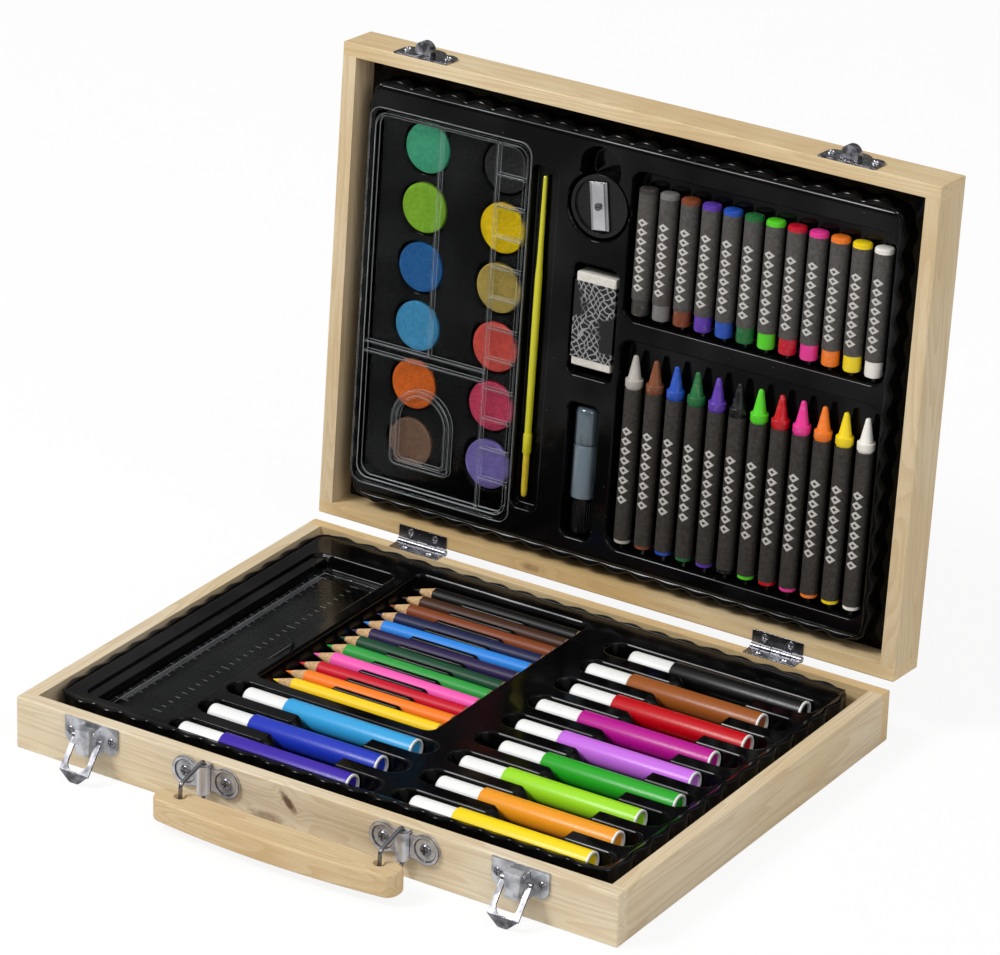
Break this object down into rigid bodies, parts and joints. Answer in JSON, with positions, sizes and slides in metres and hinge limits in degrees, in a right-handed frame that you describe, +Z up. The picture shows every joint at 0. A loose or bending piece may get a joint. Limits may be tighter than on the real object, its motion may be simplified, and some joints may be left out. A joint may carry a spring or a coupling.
{
  "type": "wooden art case with a hinged lid",
  "caption": "Shallow hinged wooden case with draw latches and a carrying handle, holding trays of pencils, markers, crayons, pastels, paint pans and drawing tools",
  "frame": {"origin": "the middle of the base's underside, where the case stands on a table", "axes": "+X to the right along the front, +Y to the back towards the hinges, +Z up; the underside faces -Z"},
  "size_m": [0.3, 0.2929, 0.2578],
  "materials": {
    "case_wood": "pale planed pine, unvarnished",
    "panel_wood": "pale thin plywood",
    "grip_wood": "pale turned pine, smooth",
    "tray_plastic": "glossy black formed sheet",
    "plated_steel": "bright nickel plate",
    "dark_plate": "darker plated steel",
    "screw_steel": "plated cross-head screws",
    "pencil_wood": "lacquered barrel with a bare cedar cone",
    "pencil_lead": "waxy coloured core",
    "marker_white": "white satin plastic",
    "marker_barrel": "glossy coloured plastic",
    "marker_plug": "glossy coloured plastic",
    "clear_plastic": "clear formed plastic",
    "paint_cake": "dry pressed watercolour",
    "wax": "smooth coloured wax",
    "paper_sleeve": "dark grey printed paper",
    "brush_lacquer": "glossy yellow lacquer",
    "brush_cap": "translucent yellow cap",
    "sharpener_plastic": "satin black plastic",
    "sharpener_metal": "milled light metal",
    "blade_steel": "ground blade steel",
    "eraser_rubber": "white rubber",
    "eraser_card": "black printed card",
    "glue_clear": "clear blue-grey plastic",
    "glue_body": "frosted plastic",
    "glue_knob": "black plastic"
  },
  "bodies": {
    "base": {"base_front_rail": "case_wood", "base_back_rail": "case_wood", "base_left_rail": "case_wood", "base_right_rail": "case_wood", "base_panel": "panel_wood", "base_tray": "tray_plastic", "hinge_left_base_leaf": "plated_steel", "hinge_right_base_leaf": "plated_steel", "hinge_base_screws": "screw_steel", "hinge_pins": "plated_steel", "latch_left_plate": "plated_steel", "latch_right_plate": "plated_steel", "latch_lever_pins": "plated_steel", "latch_screws": "screw_steel", "handle_plates": "plated_steel", "handle_screws": "screw_steel"},
    "lid": {"lid_front_rail": "case_wood", "lid_back_rail": "case_wood", "lid_left_rail": "case_wood", "lid_right_rail": "case_wood", "lid_panel": "panel_wood", "lid_tray": "tray_plastic", "hinge_left_lid_leaf": "plated_steel", "hinge_right_lid_leaf": "plated_steel", "hinge_lid_screws": "screw_steel", "keepers": "dark_plate", "keeper_screws": "screw_steel", "paint_pans": "paint_cake"},
    "lever_left": {"latch_left_lever": "plated_steel", "latch_left_hasp_pin": "plated_steel"},
    "hasp_left": {"latch_left_hasp": "plated_steel"},
    "lever_right": {"latch_right_lever": "plated_steel", "latch_right_hasp_pin": "plated_steel"},
    "hasp_right": {"latch_right_hasp": "plated_steel"},
    "handle_arm_left": {"handle_left_loop": "plated_steel"},
    "handle_arm_right": {"handle_right_loop": "plated_steel"},
    "grip": {"handle_grip": "grip_wood"},
    "markers": {"marker_noses": "marker_white", "marker_barrels": "marker_barrel", "marker_plugs": "marker_plug"},
    "pencils": {"pencil_barrels": "pencil_wood", "pencil_leads": "pencil_lead"},
    "ruler": {"ruler": "clear_plastic"},
    "palette": {"palette": "clear_plastic"},
    "brush": {"brush_handle": "brush_lacquer", "brush_cap": "brush_cap"},
    "sharpener": {"sharpener_body": "sharpener_plastic", "sharpener_block": "sharpener_metal", "sharpener_blade": "blade_steel", "sharpener_screw": "screw_steel"},
    "eraser": {"eraser_block": "eraser_rubber", "eraser_sleeve": "eraser_card"},
    "glue": {"glue_cap": "glue_clear", "glue_barrel": "glue_body", "glue_knob": "glue_knob"},
    "crayons": {"crayon_sticks": "wax", "crayon_sleeves": "paper_sleeve"},
    "pastels": {"pastel_sticks": "wax", "pastel_sleeves": "paper_sleeve"}
  },
  "joints": [
    {"name": "lid_hinge", "type": "hinge", "parent": "base", "child": "lid", "pos_m": [0, 0.11405, 0.02475], "axis": [-1, 0, 0], "range_deg": [-93.55, 0]},
    {"name": "lever_left_pivot", "type": "hinge", "parent": "base", "child": "lever_left", "pos_m": [-0.1098, -0.11675, 0.0208], "axis": [1, 0, 0], "range_deg": [-95, 0]},
    {"name": "hasp_left_pivot", "type": "hinge", "parent": "lever_left", "child": "hasp_left", "pos_m": [-0.1098, -0.11545, 0.0174], "axis": [-1, 0, 0], "range_deg": [0, 140]},
    {"name": "lever_right_pivot", "type": "hinge", "parent": "base", "child": "lever_right", "pos_m": [0.1041, -0.11675, 0.0208], "axis": [1, 0, 0], "range_deg": [-95, 0]},
    {"name": "hasp_right_pivot", "type": "hinge", "parent": "lever_right", "child": "hasp_right", "pos_m": [0.1041, -0.11545, 0.0174], "axis": [-1, 0, 0], "range_deg": [0, 140]},
    {"name": "handle_swing", "type": "hinge", "parent": "base", "child": "handle_arm_left", "pos_m": [-0.0505, -0.11475, 0.0162], "axis": [0, 0, 1], "range_deg": [-55, 55]},
    {"name": "grip_pivot", "type": "hinge", "parent": "handle_arm_left", "child": "grip", "pos_m": [-0.0505, -0.13125, 0.0096], "axis": [0, 0, 1], "range_deg": [-55, 55]},
    {"name": "handle_arm_right_pivot", "type": "hinge", "parent": "base", "child": "handle_arm_right", "pos_m": [0.0485, -0.11475, 0.0162], "axis": [0, 0, 1], "range_deg": [-55, 55]},
    {"name": "markers_lift_out", "type": "slide", "parent": "base", "child": "markers", "axis": [0, 0, 1], "range_m": [0, 0.018]},
    {"name": "pencils_lift_out", "type": "slide", "parent": "base", "child": "pencils", "axis": [0, 0, 1], "range_m": [0, 0.018]},
    {"name": "ruler_lift_out", "type": "slide", "parent": "base", "child": "ruler", "axis": [0, 0, 1], "range_m": [0, 0.018]},
    {"name": "palette_lift_out", "type": "slide", "parent": "lid", "child": "palette", "axis": [0, -0.9981, 0.0619], "range_m": [0, 0.03]},
    {"name": "brush_lift_out", "type": "slide", "parent": "lid", "child": "brush", "axis": [0, -0.9981, 0.0619], "range_m": [0, 0.03]},
    {"name": "sharpener_lift_out", "type": "slide", "parent": "lid", "child": "sharpener", "axis": [0, -0.9981, 0.0619], "range_m": [0, 0.03]},
    {"name": "eraser_lift_out", "type": "slide", "parent": "lid", "child": "eraser", "axis": [0, -0.9981, 0.0619], "range_m": [0, 0.03]},
    {"name": "glue_lift_out", "type": "slide", "parent": "lid", "child": "glue", "axis": [0, -0.9981, 0.0619], "range_m": [0, 0.03]},
    {"name": "crayons_lift_out", "type": "slide", "parent": "lid", "child": "crayons", "axis": [0, -0.9981, 0.0619], "range_m": [0, 0.03]},
    {"name": "pastels_lift_out", "type": "slide", "parent": "lid", "child": "pastels", "axis": [0, -0.9981, 0.0619], "range_m": [0, 0.03]}
  ],
  "couplings": [
    {"joint": "grip_pivot", "follows": "handle_swing", "ratio": -1},
    {"joint": "handle_arm_right_pivot", "follows": "handle_swing", "ratio": 1}
  ]
}
